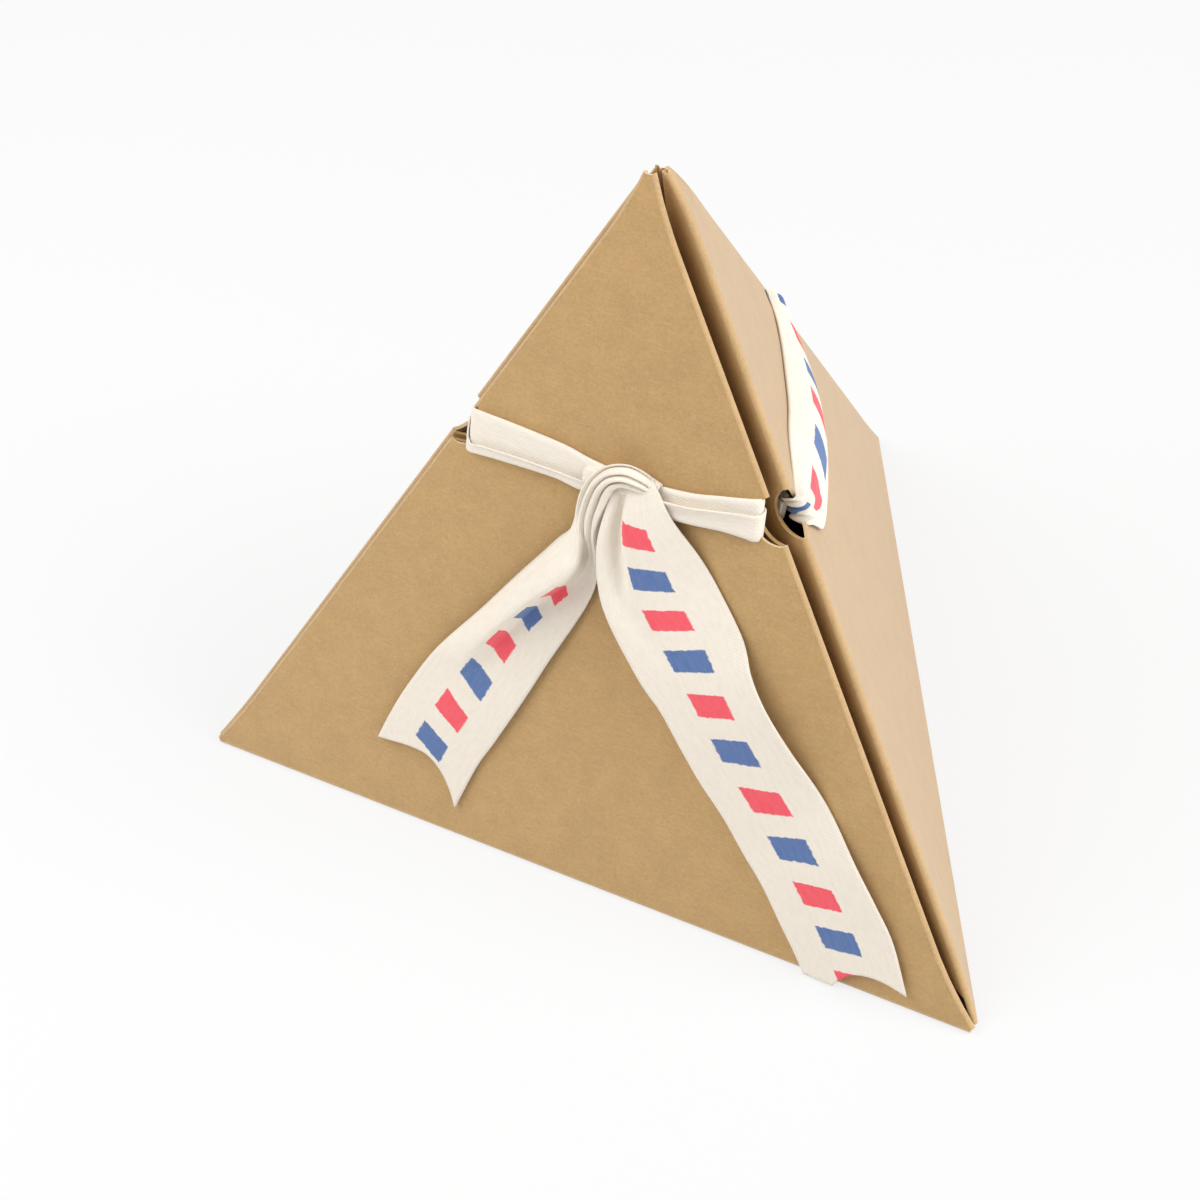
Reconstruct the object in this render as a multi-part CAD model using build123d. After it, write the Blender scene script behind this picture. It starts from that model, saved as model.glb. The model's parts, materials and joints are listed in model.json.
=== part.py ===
"""Pyramid favor box: a kraft card tetrahedron that folds flat, tied shut with a printed cotton ribbon.

Millimetres, +Z up. The origin is the middle of the foot, on the surface that the box stands on.
The front petal, with the knot, faces -Y.
"""

import os
from math import acos, cos, degrees, pi, sin, sqrt

from build123d import *

# Card blank
edge = 122.0  # side of the triangular foot, between its crease lines
board = 0.5  # thickness of the card
crease_gap = 0.1  # clearance between two panels at their crease
crease_inset_foot = 1.0  # how far a petal's side crease lies inside the ideal edge, at the foot
crease_inset_tip = 2.1  # the same at the tip
tip_cut = 5.0  # how much of a petal's point is cut off, along its slope
corner_relief = 1.6  # how much of the foot's corners is cut off, along each edge

# Flaps folded inwards along the petals' sides
flange_width = 10.0
flange_taper = 9.0  # how much shorter a flap's free edge is, at each end
flange_from_foot = 14.0  # from the foot's corner to the flap, along the edge
flange_from_tip = 12.0  # from the pyramid's tip to the flap, along the edge

# Holes punched across the side creases
hole_diameter = 6.8
hole_from_tip = 50.0  # along the sloping edge

# Ribbon
ribbon_width = 15.0  # flat
ribbon_thick = 0.3
ribbon_gap = 0.15  # between the ribbon and the card under it
gathered_thick = 0.9  # folded lengthwise, as the band is
corner_width = 4.4  # where it goes through the holes
corner_dip = 2.0  # where it goes in, from the side crease
band_width = 6.0  # on the front petal, beside the holes
band_knot_width = 3.4  # on the front petal, beside the knot
band_rise = 0.5  # how much further out the band stands beside the knot
right_band_width = 13.0
right_band_lift = 1.2  # how far out the middle of the right band stands
right_band_drop = 3.4  # how much lower its middle runs than the holes
left_band_width = 7.0
band_steps = 8  # cross-sections along a side band

# Knot
knot_length = 10.0  # along the band
knot_diameter = 8.0
knot_end_diameter = 5.2
knot_drop = 2.6  # its middle below the holes, along the slope
knot_height = 2.6  # its middle line above the card
knot_flat = 2.8  # from its middle line to the flat that the tails leave from

# Tails
tail_root_thick = 1.0  # gathered, at the knot
tail_steps = 14
tail_end_hollow = 3.5  # depth of the hollow cut in each end
left_tail_root = -2.3  # along the band, from the knot's middle
left_tail_root_width = 3.0
left_tail_end = (-26.5, 5.0)  # from the middle of the foot crease: along it, and up the slope
left_tail_waves = 1.0
left_tail_wave_height = 1.8
left_tail_flare = 0.55  # share of the tail over which it opens to its full width
right_tail_root = 1.7
right_tail_root_width = 3.6
right_tail_end = (46.0, 0.0)
right_tail_waves = 2.5
right_tail_wave_height = 2.0
right_tail_flare = 0.3
tail_rest = 1.0  # least height of a tail's middle line above the card
foot_clearance = 0.4  # between the ribbon and the surface that the box stands on

# Worked out from the sizes above
fold = degrees(acos(1 / 3))
half_fold = fold / 2
slope = edge * sqrt(3) / 2
inradius = edge / (2 * sqrt(3))
outside = board / 2
band_height = outside + ribbon_gap + gathered_thick / 2
tip_height = slope - tip_cut
reach = 4 * edge

faces = ("front", "right", "left")
face_turn = 360 / len(faces)
turns = {name: number * face_turn for number, name in enumerate(faces)}
sides = {"left": -1, "right": 1}


def face_plane(turn):
    """The middle plane of a petal: X along its foot crease, Y up its slope, Z out of the box."""
    foot = Vector(0, -inradius, board / 2).rotate(Axis.Z, turn)
    along = Vector(1, 0, 0).rotate(Axis.Z, turn)
    out = Vector(0, -1, 0).rotate(Axis.X, fold - 90).rotate(Axis.Z, turn)
    return Plane(origin=foot, x_dir=along, z_dir=out)


def half_space(plane):
    """A large block on the lower side of a plane."""
    return plane * Pos(0, 0, -reach / 2) * Box(reach, reach, reach)


def rod(start, end, diameter):
    """A round bar between two points."""
    run = end - start
    bottom = (Align.CENTER, Align.CENTER, Align.MIN)
    return Plane(origin=start, z_dir=run) * Cylinder(diameter / 2, run.length, align=bottom)


def side_crease(side):
    """Foot and tip of a petal's side crease, in the plane of the petal."""
    inward = Vector(-side * sqrt(3) / 2, -1 / 2)
    foot = Vector(side * edge / 2, 0) + inward * crease_inset_foot
    tip = Vector(0, slope) + inward * crease_inset_tip
    return foot, tip


def crease_at(side, height):
    """The point of a side crease at a height up the slope."""
    foot, tip = side_crease(side)
    return foot + (tip - foot) * ((height - foot.Y) / (tip.Y - foot.Y))


def hole_centre(side):
    """The middle of the hole punched across a side crease."""
    return crease_at(side, slope - hole_from_tip * sqrt(3) / 2)


def base_panel():
    """The foot, with a rounded crease along each edge."""
    corners = [Vector(0, 2 * inradius).rotate(Axis.Z, turn) for turn in turns.values()]
    outline = []
    creases = []
    for start, end in zip(corners, corners[1:] + corners[:1]):
        along = (end - start).normalized()
        first = start + along * corner_relief
        last = end - along * corner_relief
        outline += [first, last]
        lift = Vector(0, 0, board / 2)
        creases.append(rod(first + lift, last + lift, board))
    plate = extrude(make_face(Polyline(*outline, close=True)), board)
    return plate + creases


def petal(turn):
    """A sloping face with a rounded crease and half a hole along each side."""
    outline = [crease_at(-1, 0), crease_at(1, 0), crease_at(1, tip_height), crease_at(-1, tip_height)]
    sheet = extrude(make_face(Polyline(*outline, close=True)), board / 2, both=True)
    for side in sides.values():
        sheet += rod(crease_at(side, 0), crease_at(side, tip_height), board)
        sheet -= Pos(*hole_centre(side)) * Cylinder(hole_diameter / 2, 4 * board)
    above_tip = Plane(origin=(0, tip_height, 0), z_dir=(0, -1, 0))
    sheet = face_plane(turn) * (sheet - half_space(above_tip))
    return sheet - half_space(Plane.XY.offset(board + crease_gap))


def crease_frame(turn, side):
    """The plane of a folded flap: X up its crease, Y to its free edge, with its origin at the hole."""
    face = face_plane(turn)
    foot, tip = side_crease(side)
    up = (tip - foot).normalized()
    inward = Vector(-side * up.Y, side * up.X)
    across = inward * cos(half_fold * pi / 180) - Vector(0, 0, 1) * sin(half_fold * pi / 180)
    flat = Plane(origin=hole_centre(side), x_dir=up, z_dir=up.cross(across))
    return face * flat.location, face


def flange(turn, side):
    """A flap folded inwards along a petal's side, with the other half of the hole."""
    frame, face = crease_frame(turn, side)
    low = hole_from_tip + flange_from_foot - edge
    high = hole_from_tip - flange_from_tip
    outline = [(low, 0), (high, 0), (high - flange_taper, flange_width), (low + flange_taper, flange_width)]
    sheet = extrude(make_face(Polyline(*outline, close=True)), board / 2, both=True)
    sheet -= Cylinder(hole_diameter / 2, 4 * board)
    under_face = face.offset(-(outside + crease_gap))
    return frame * sheet - half_space(Plane(origin=under_face.origin, z_dir=-under_face.z_dir))


def section(face, centre, across, out, width, thick):
    """A ribbon's cross-section: a middle point on a petal, and the directions across it and out of it."""
    middle = face.from_local_coords(Vector(*centre))
    half_width = across.normalized() * (width / 2)
    half_thick = out.normalized() * (thick / 2)
    corners = [
        middle - half_width - half_thick,
        middle + half_width - half_thick,
        middle + half_width + half_thick,
        middle - half_width + half_thick,
    ]
    return Face(Wire.make_polygon(corners))


def flat_section(face, centre, width, thick):
    """A cross-section of a band that runs level across a petal."""
    return section(face, centre, face.y_dir, face.z_dir, width, thick)


def hole_section(turn, side):
    """Where the ribbon turns in through a hole, halfway between the petal's plane and the corner's."""
    face = face_plane(turn)
    frame, _ = crease_frame(turn, side)
    up = Plane(frame).x_dir
    corner_out = (face.z_dir + face.z_dir.rotate(Axis.Z, face_turn * side)).normalized()
    out = (face.z_dir + corner_out).normalized()
    thick = gathered_thick / out.dot(corner_out)
    hole = hole_centre(side)
    foot, tip = side_crease(side)
    run = (tip - foot).normalized()
    centre = hole + Vector(-side * run.Y, side * run.X) * corner_dip
    return section(face, (centre.X, centre.Y, band_height), up, out, corner_width, thick)


def ribbon_corner(turn):
    """The ribbon between a petal's right hole and the next petal's left hole."""
    return loft([hole_section(turn, 1), hole_section(turn + face_turn, -1)], ruled=True)


def front_band(side):
    """The gathered band from a hole of the front petal to the knot."""
    face = face_plane(turns["front"])
    hole = hole_centre(side)
    beside_hole = hole.X - side * (hole_diameter / 2 + corner_dip)
    beside_knot = side * knot_length / 2
    sections = [hole_section(turns["front"], side)]
    for share in (0, 1 / 2, 1):
        place = beside_hole + (beside_knot - beside_hole) * share
        centre = (place, hole.Y - knot_drop * share, band_height + band_rise * share)
        width = band_width + (band_knot_width - band_width) * share
        sections.append(flat_section(face, centre, width, gathered_thick))
    return loft(sections, ruled=True)


def side_band(turn, width, lift, drop):
    """The band across a petal with no knot: widest and furthest out between its two holes."""
    face = face_plane(turn)
    hole = hole_centre(1)
    sections = []
    for step in range(1, band_steps):
        share = step / band_steps
        swell = sin(pi * share)
        place = (hole.X - corner_dip) * (2 * share - 1)
        centre = (place, hole.Y - drop * swell, band_height + lift * swell)
        wide = corner_width + (width - corner_width) * swell
        sections.append(flat_section(face, centre, wide, gathered_thick))
    return loft([hole_section(turn, -1), *sections, hole_section(turn, 1)], ruled=True)


def knot():
    """The tied lump: a barrel along the band, flat under it and where the tails leave."""
    half = knot_length / 2
    left_rim = (-half, knot_end_diameter / 2)
    right_rim = (half, knot_end_diameter / 2)
    belly = ThreePointArc(left_rim, (0, knot_diameter / 2), right_rim)
    outline = belly + Polyline(right_rim, (half, 0), (-half, 0), left_rim)
    barrel = revolve(make_face(outline), Axis.X)
    barrel -= half_space(Plane(origin=(0, 0, ribbon_gap - knot_height)))
    barrel -= half_space(Plane(origin=(0, -knot_flat, 0), z_dir=(0, 1, 0)))
    level = hole_centre(1).Y - knot_drop
    return face_plane(turns["front"]) * Pos(0, level, outside + knot_height) * barrel


def tail(root, root_width, end, waves, wave_height, flare):
    """A tail that leaves the knot gathered, opens to its full width and waves down to its hollow end."""
    face = face_plane(turns["front"])
    start = Vector(root, hole_centre(1).Y - knot_drop - knot_flat)
    run = Vector(*end) - start
    along = run.normalized()
    level = Vector(1, 0)
    crossing = Vector(-along.Y, along.X)
    sections = []
    for step in range(tail_steps + 1):
        share = step / tail_steps
        opened = min(share / flare, 1)
        opened = opened * opened * (3 - 2 * opened)
        wave = wave_height * sin(pi * waves * share) ** 2
        root_height = knot_height * (1 - opened)
        middle = start + run * share
        centre = (middle.X, middle.Y, outside + tail_rest + max(wave, root_height) - wave * (1 - opened))
        turned = level * (1 - opened) + crossing * opened
        across = face.x_dir * turned.X + face.y_dir * turned.Y
        width = root_width + (ribbon_width - root_width) * opened
        thick = tail_root_thick + (ribbon_thick - tail_root_thick) * opened
        sections.append(section(face, centre, across, face.z_dir, width, thick))
    strip = loft(sections, ruled=True)
    hollow_radius = (ribbon_width**2 / 4 + tail_end_hollow**2) / (2 * tail_end_hollow)
    hollow_centre = Vector(*end) + along * (hollow_radius - tail_end_hollow)
    hollow = face * Pos(*hollow_centre) * Cylinder(hollow_radius, reach / 4)
    return strip - hollow - half_space(Plane.XY.offset(foot_clearance))


def build():
    """Every piece of the box by name."""
    pieces = {"base_panel": base_panel()}
    for name, turn in turns.items():
        pieces[f"{name}_petal"] = petal(turn)
        for side_name, side in sides.items():
            pieces[f"{name}_petal_{side_name}_flange"] = flange(turn, side)
    pieces["ribbon_front_left"] = front_band(-1)
    pieces["ribbon_front_right"] = front_band(1)
    pieces["ribbon_right_face"] = side_band(
        turns["right"],
        right_band_width,
        right_band_lift,
        right_band_drop,
    )
    pieces["ribbon_left_face"] = side_band(turns["left"], left_band_width, 0, 0)
    pieces["ribbon_corner_right"] = ribbon_corner(turns["front"])
    pieces["ribbon_corner_back"] = ribbon_corner(turns["right"])
    pieces["ribbon_corner_left"] = ribbon_corner(turns["left"])
    pieces["ribbon_knot"] = knot()
    pieces["ribbon_left_tail"] = tail(
        left_tail_root,
        left_tail_root_width,
        left_tail_end,
        left_tail_waves,
        left_tail_wave_height,
        left_tail_flare,
    )
    pieces["ribbon_right_tail"] = tail(
        right_tail_root,
        right_tail_root_width,
        right_tail_end,
        right_tail_waves,
        right_tail_wave_height,
        right_tail_flare,
    )
    return pieces


os.makedirs("parts", exist_ok=True)
for node, piece in build().items():
    export_step(piece, f"parts/{node}.step")
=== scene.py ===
"""Looks of the favor box: a folded kraft card pyramid and the printed cotton ribbon that ties it shut.

Metres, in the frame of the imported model. +Z is up, and the front petal, with the knot, faces -Y.
Sizes in the classes below are in millimetres, and MM turns them into metres where a mesh is made.
"""

import json
import logging
import math
from bisect import bisect_left
from collections.abc import Callable, Iterable, Sequence
from dataclasses import dataclass, field, fields
from enum import Enum

import bmesh
import bpy
from mathutils import Matrix, Vector

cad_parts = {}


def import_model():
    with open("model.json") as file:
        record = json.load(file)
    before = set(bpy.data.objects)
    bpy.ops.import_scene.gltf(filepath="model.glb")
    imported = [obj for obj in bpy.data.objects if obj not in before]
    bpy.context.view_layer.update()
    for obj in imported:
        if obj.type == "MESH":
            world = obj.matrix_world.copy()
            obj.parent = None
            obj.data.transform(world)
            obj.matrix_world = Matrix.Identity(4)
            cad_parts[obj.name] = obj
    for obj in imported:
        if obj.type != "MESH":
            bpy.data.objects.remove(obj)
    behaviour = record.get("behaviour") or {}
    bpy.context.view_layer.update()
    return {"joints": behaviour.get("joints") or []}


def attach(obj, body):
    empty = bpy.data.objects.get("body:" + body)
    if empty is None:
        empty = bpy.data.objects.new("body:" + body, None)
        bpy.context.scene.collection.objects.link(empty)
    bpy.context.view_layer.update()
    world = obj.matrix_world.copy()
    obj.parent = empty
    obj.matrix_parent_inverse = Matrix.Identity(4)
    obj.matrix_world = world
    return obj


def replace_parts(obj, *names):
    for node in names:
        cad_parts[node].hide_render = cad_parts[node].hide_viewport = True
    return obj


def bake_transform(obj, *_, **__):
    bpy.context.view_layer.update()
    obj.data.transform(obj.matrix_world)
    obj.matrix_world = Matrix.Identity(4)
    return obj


LOG = logging.getLogger("favor_box")
MM = 0.001
TINY = 1e-9
UP = Vector((0, 0, 1))
# The angle between two faces of a regular tetrahedron.
FOLD = math.acos(1 / 3)
# The ribbon's width and the pitch of its printed blocks, in millimetres.
RIBBON_WIDTH = 15.0
PITCH = 7.0
Socket = bpy.types.NodeSocket
Vert = bmesh.types.BMVert | bpy.types.MeshVertex
Span = tuple[float, float]
Triple = tuple[float, float, float]
# A piece of ribbon and its length in millimetres.
Stretch = tuple[bpy.types.Object, float]


class Side(Enum):
    """The two sides of a petal, seen from outside."""

    LEFT = -1
    RIGHT = 1


class Profile(Enum):
    """How a gathered stretch of ribbon is shaped across its width."""

    ROLLED = "rolled up, one edge inside the other"
    FOLDED = "folded in three, one flap over the other"


class Slot(Enum):
    """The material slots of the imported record."""

    CARD = "kraft_card"
    RIBBON = "printed_ribbon"


class Wiring:
    """Adds nodes to a tree and joins them up."""

    def __init__(self, tree: bpy.types.NodeTree) -> None:
        """Starts on a tree with nothing in it."""
        self.tree = tree
        tree.nodes.clear()

    def node(self, kind: str, **settings: object) -> bpy.types.Node:
        """Adds one node.

        Args:
            kind: The node's type name.
            settings: Attributes to set on it.

        Returns:
            The new node.
        """
        made = self.tree.nodes.new(kind)
        for name, value in settings.items():
            setattr(made, name, value)
        return made

    def feed(self, socket: Socket, value: Socket | float | Sequence[float]) -> None:
        """Links a socket to an input, or sets the input's own value."""
        if isinstance(value, bpy.types.NodeSocket):
            self.tree.links.new(value, socket)
        else:
            socket.default_value = value

    def math(self, operation: str, *values: Socket | float) -> Socket:
        """Adds a Math node.

        Args:
            operation: The node's operation.
            values: Its inputs in order.

        Returns:
            The node's output.
        """
        made = self.node("ShaderNodeMath", operation=operation)
        for socket, value in zip(made.inputs, values):
            self.feed(socket, value)
        return made.outputs[0]

    def reading(self, kind: str, output: str, inputs: dict[str, object], **settings: object) -> Socket:
        """Adds a node whose inputs are fed by name.

        Args:
            kind: The node's type name.
            output: The name of the output that is wanted.
            inputs: Links or values, by the inputs' names.
            settings: Attributes to set on the node first.

        Returns:
            That output.
        """
        made = self.node(kind, **settings)
        for name, value in inputs.items():
            self.feed(made.inputs[name], value)
        return made.outputs[output]

    def ramp(self, value: Socket, low: float, high: float) -> Socket:
        """A smooth step, from 0 at the low value to 1 at the high one."""
        inputs = {"Value": value, "From Min": low, "From Max": high}
        return self.reading("ShaderNodeMapRange", "Result", inputs, interpolation_type="SMOOTHSTEP")

    def mix(self, share: Socket | float, first: object, second: object) -> Socket:
        """A mix of two colours, by the share of the second one."""
        inputs = {"Factor": share, "A": first, "B": second}
        return self.reading("ShaderNodeMix", "Result", inputs, data_type="RGBA")

    def noise(self, place: Socket, scale: float, detail: float = 2.0, rough: float = 0.5) -> Socket:
        """A noise from 0 to 1: its lumps in a unit of length, its finer layers and how strong they are."""
        inputs = {"Vector": place, "Scale": scale, "Detail": detail, "Roughness": rough}
        return self.reading("ShaderNodeTexNoise", "Fac", inputs)

    def joined(self, across: Socket, along: Socket) -> Socket:
        """A place on the flat ribbon, from how far across and along it is."""
        return self.reading("ShaderNodeCombineXYZ", "Vector", {"X": across, "Y": along})

    def stretched(self, place: Socket, turn: Triple, scale: Triple) -> Socket:
        """A place turned by angles in degrees and stretched along each axis."""
        inputs = {"Vector": place, "Rotation": [math.radians(angle) for angle in turn], "Scale": scale}
        return self.reading("ShaderNodeMapping", "Vector", inputs)

    def bump(self, height: Socket, depth: float, strength: float) -> Socket:
        """The normal that a height bends, where a height of 1 measures the depth in metres."""
        inputs = {"Height": height, "Distance": depth, "Strength": strength}
        return self.reading("ShaderNodeBump", "Normal", inputs)


def new_group(name: str, inputs: Sequence[str], outputs: Sequence[str]) -> tuple[Wiring, dict, dict]:
    """Makes a shader node group of values.

    Args:
        name: The group's name.
        inputs: Names of its inputs; one called Vector is a vector.
        outputs: Names of its outputs.

    Returns:
        Its wiring, its input sockets by name and its output sockets by name.
    """
    tree = bpy.data.node_groups.new(name, "ShaderNodeTree")
    for label in inputs:
        kind = "NodeSocketVector" if label == "Vector" else "NodeSocketFloat"
        tree.interface.new_socket(label, in_out="INPUT", socket_type=kind)
    for label in outputs:
        tree.interface.new_socket(label, in_out="OUTPUT", socket_type="NodeSocketFloat")
    wiring = Wiring(tree)
    entry = wiring.node("NodeGroupInput")
    leave = wiring.node("NodeGroupOutput")
    return wiring, {s.name: s for s in entry.outputs if s.name}, {s.name: s for s in leave.inputs if s.name}


def paper_fibre_group() -> bpy.types.NodeTree:
    """Unbleached paper: clouds with a fine grain, crossing fibres and dark specks.

    Returns:
        The node group, with Cloud, Fibre, Speck and Height.
    """
    grain_scale, cloud_scale, strand_scale, speck_scale = 2600.0, 260.0, 3600.0, 1500.0
    grain_share, cloud_share, fibre_height = 0.6, 0.4, 0.35
    fibre_step, speck_step = (0.58, 0.72), (0.66, 0.76)
    strand_turns = ((20, 35, 10), (-50, 15, 70), (75, -40, 130))
    strand_stretch = (0.16, 1.0, 1.0)
    wiring, entry, leave = new_group("paper_fibre", ["Vector"], ["Cloud", "Fibre", "Speck", "Height"])
    place = entry["Vector"]
    grain = wiring.noise(place, grain_scale, detail=3.0, rough=0.6)
    cloud = wiring.noise(place, cloud_scale, detail=5.0, rough=0.6)
    cloud = wiring.math("MULTIPLY_ADD", grain, grain_share, wiring.math("MULTIPLY", cloud, cloud_share))
    layers = []
    for turn in strand_turns:
        strands = wiring.stretched(place, turn, strand_stretch)
        layers.append(wiring.ramp(wiring.noise(strands, strand_scale, detail=1.5), *fibre_step))
    fibre = wiring.math("MAXIMUM", wiring.math("MAXIMUM", layers[0], layers[1]), layers[2])
    speck = wiring.ramp(wiring.noise(place, speck_scale, detail=1.0, rough=0.4), *speck_step)
    height = wiring.math("MULTIPLY_ADD", fibre, fibre_height, grain)
    for name, value in (("Cloud", cloud), ("Fibre", fibre), ("Speck", speck), ("Height", height)):
        wiring.feed(leave[name], value)
    return wiring.tree


def weave_group() -> bpy.types.NodeTree:
    """Plain cotton weave on a ribbon's own width and length, in metres. Its Shade is painted shade: lighter
    on the raised thread crossings and darker between the threads, with the slubs' own uneven tone.

    Returns:
        The node group, with Height and Shade.
    """
    thread, slub_scale, slub_stretch = 0.30 * MM, 1900.0, (1.0, 0.25, 1.0)
    crossing_height, crossing_painted_shade = 0.5, 0.45
    wiring, entry, leave = new_group("cotton_weave", ["Across", "Along"], ["Height", "Shade"])
    waves = []
    for name in ("Across", "Along"):
        place = wiring.math("MULTIPLY", entry[name], math.tau / (2 * thread))
        waves.append(wiring.math("SINE", place))
    crossing = wiring.math("MULTIPLY", *waves)
    flat = wiring.joined(entry["Across"], entry["Along"])
    slub = wiring.noise(wiring.stretched(flat, (0, 0, 0), slub_stretch), slub_scale)
    # Painted highlight on the raised thread crossings, with painted shade between them.
    top = wiring.math("ABSOLUTE", crossing)
    wiring.feed(leave["Height"], wiring.math("MULTIPLY_ADD", crossing, crossing_height, slub))
    wiring.feed(leave["Shade"], wiring.math("MULTIPLY_ADD", top, crossing_painted_shade, slub))
    return wiring.tree


def stripe_print_group() -> bpy.types.NodeTree:
    """The row of slanted blocks down the middle of the ribbon, red and blue in turn.

    Returns:
        The node group, with Red and Blue.
    """
    pitch, block, height, slant, soft = PITCH * MM, 3.6 * MM, 5.0 * MM, 2.2 * MM, 0.12 * MM
    rag, rag_scale = 0.5 * MM, 1400.0
    wiring, entry, leave = new_group("stripe_print", ["Across", "Along"], ["Red", "Blue"])
    flat = wiring.joined(entry["Across"], entry["Along"])
    ragged = wiring.math("MULTIPLY_ADD", wiring.noise(flat, rag_scale), rag, -rag / 2)
    off_middle = wiring.math("SUBTRACT", entry["Across"], RIBBON_WIDTH / 2 * MM)
    from_middle = wiring.math("ADD", wiring.math("ABSOLUTE", off_middle), ragged)
    inside = wiring.ramp(from_middle, height / 2 + soft, height / 2 - soft)
    slanted = wiring.math("MULTIPLY_ADD", off_middle, -slant / height, entry["Along"])
    slanted = wiring.math("ADD", slanted, ragged)
    for name, start in (("Red", 0.0), ("Blue", pitch)):
        shifted = wiring.math("SUBTRACT", slanted, start)
        turn = wiring.math("FLOORED_MODULO", shifted, 2 * pitch)
        from_block = wiring.math("ABSOLUTE", wiring.math("SUBTRACT", turn, pitch))
        within = wiring.ramp(from_block, block / 2 + soft, block / 2 - soft)
        wiring.feed(leave[name], wiring.math("MULTIPLY", within, inside))
    return wiring.tree


def new_material(name: str) -> tuple[bpy.types.Material, Wiring, bpy.types.Node]:
    """Makes a material with a Principled shader and nothing else.

    Args:
        name: The material's name.

    Returns:
        The material, its wiring and its shader node.
    """
    material = bpy.data.materials.new(name)
    material.use_nodes = True
    wiring = Wiring(material.node_tree)
    shader = wiring.node("ShaderNodeBsdfPrincipled")
    wiring.feed(wiring.node("ShaderNodeOutputMaterial").inputs["Surface"], shader.outputs["BSDF"])
    return material, wiring, shader


@dataclass(frozen=True)
class KraftFinish:
    """Brown kraft card."""

    name: str
    colour: Triple
    pale: Triple = (0.72, 0.50, 0.25)
    dark: Triple = (0.36, 0.21, 0.085)
    roughness: float = 0.78
    relief: float = 0.035
    bump: float = 0.5
    specular: float = 0.35
    sheen: float = 0.60
    sheen_roughness: float = 0.45
    cloud_step: Span = (0.33, 0.67)
    cloud_depth: float = 0.84
    fibre_share: float = 0.10
    speck_share: float = 0.25

    def build(self, fibre: bpy.types.NodeTree) -> bpy.types.Material:
        """Makes the material.

        Args:
            fibre: The paper fibre group.

        Returns:
            The material.
        """
        material, wiring, shader = new_material(self.name)
        paper = wiring.node("ShaderNodeGroup", node_tree=fibre)
        place = wiring.node("ShaderNodeTexCoord").outputs["Object"]
        wiring.feed(paper.inputs["Vector"], place)
        cloud = wiring.ramp(paper.outputs["Cloud"], *self.cloud_step)
        deep = [self.cloud_depth * value for value in self.colour]
        tone = wiring.mix(cloud, (*deep, 1), (*self.colour, 1))
        marks = (("Fibre", self.fibre_share, self.pale), ("Speck", self.speck_share, self.dark))
        for name, share, colour in marks:
            tone = wiring.mix(wiring.math("MULTIPLY", paper.outputs[name], share), tone, (*colour, 1))
        wiring.feed(shader.inputs["Base Color"], tone)
        shader.inputs["Roughness"].default_value = self.roughness
        shader.inputs["Specular IOR Level"].default_value = self.specular
        shader.inputs["Sheen Weight"].default_value = self.sheen
        shader.inputs["Sheen Roughness"].default_value = self.sheen_roughness
        normal = wiring.bump(paper.outputs["Height"], self.relief * MM, self.bump)
        wiring.feed(shader.inputs["Normal"], normal)
        return material


@dataclass(frozen=True)
class RibbonFinish:
    """One side of the cotton ribbon."""

    name: str
    ink: float
    cotton: Triple = (0.835, 0.765, 0.665)
    # The cotton in the painted shade between the threads.
    shade: Triple = (0.77, 0.70, 0.60)
    red: Triple = (0.845, 0.068, 0.105)
    blue: Triple = (0.062, 0.142, 0.355)
    thread_step: Span = (0.25, 0.85)
    ink_wear: float = 0.06
    roughness: float = 0.9
    relief: float = 0.05
    bump: float = 0.6
    specular: float = 0.2
    sheen: float = 0.15

    def build(self, weave: bpy.types.NodeTree, stripe: bpy.types.NodeTree) -> bpy.types.Material:
        """Makes the material.

        Args:
            weave: The cotton weave group.
            stripe: The group of printed blocks.

        Returns:
            The material.
        """
        material, wiring, shader = new_material(self.name)
        flat = wiring.node("ShaderNodeSeparateXYZ")
        wiring.feed(flat.inputs[0], wiring.node("ShaderNodeUVMap", uv_map="ribbon").outputs[0])
        cloth = wiring.node("ShaderNodeGroup", node_tree=weave)
        ink = wiring.node("ShaderNodeGroup", node_tree=stripe)
        for group in (cloth, ink):
            wiring.feed(group.inputs["Across"], flat.outputs["X"])
            wiring.feed(group.inputs["Along"], flat.outputs["Y"])
        # Painted shade: the cotton is lighter on the raised crossings and darker between the threads, with
        # the slubs' own tone.
        thread = wiring.ramp(cloth.outputs["Shade"], *self.thread_step)
        tone = wiring.mix(thread, (*self.shade, 1), (*self.cotton, 1))
        cover = wiring.math("MULTIPLY_ADD", thread, -self.ink_wear * self.ink, self.ink)
        for name, colour in (("Red", self.red), ("Blue", self.blue)):
            tone = wiring.mix(wiring.math("MULTIPLY", ink.outputs[name], cover), tone, (*colour, 1))
        wiring.feed(shader.inputs["Base Color"], tone)
        shader.inputs["Roughness"].default_value = self.roughness
        shader.inputs["Specular IOR Level"].default_value = self.specular
        shader.inputs["Sheen Weight"].default_value = self.sheen
        normal = wiring.bump(cloth.outputs["Height"], self.relief * MM, self.bump)
        wiring.feed(shader.inputs["Normal"], normal)
        return material


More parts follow.
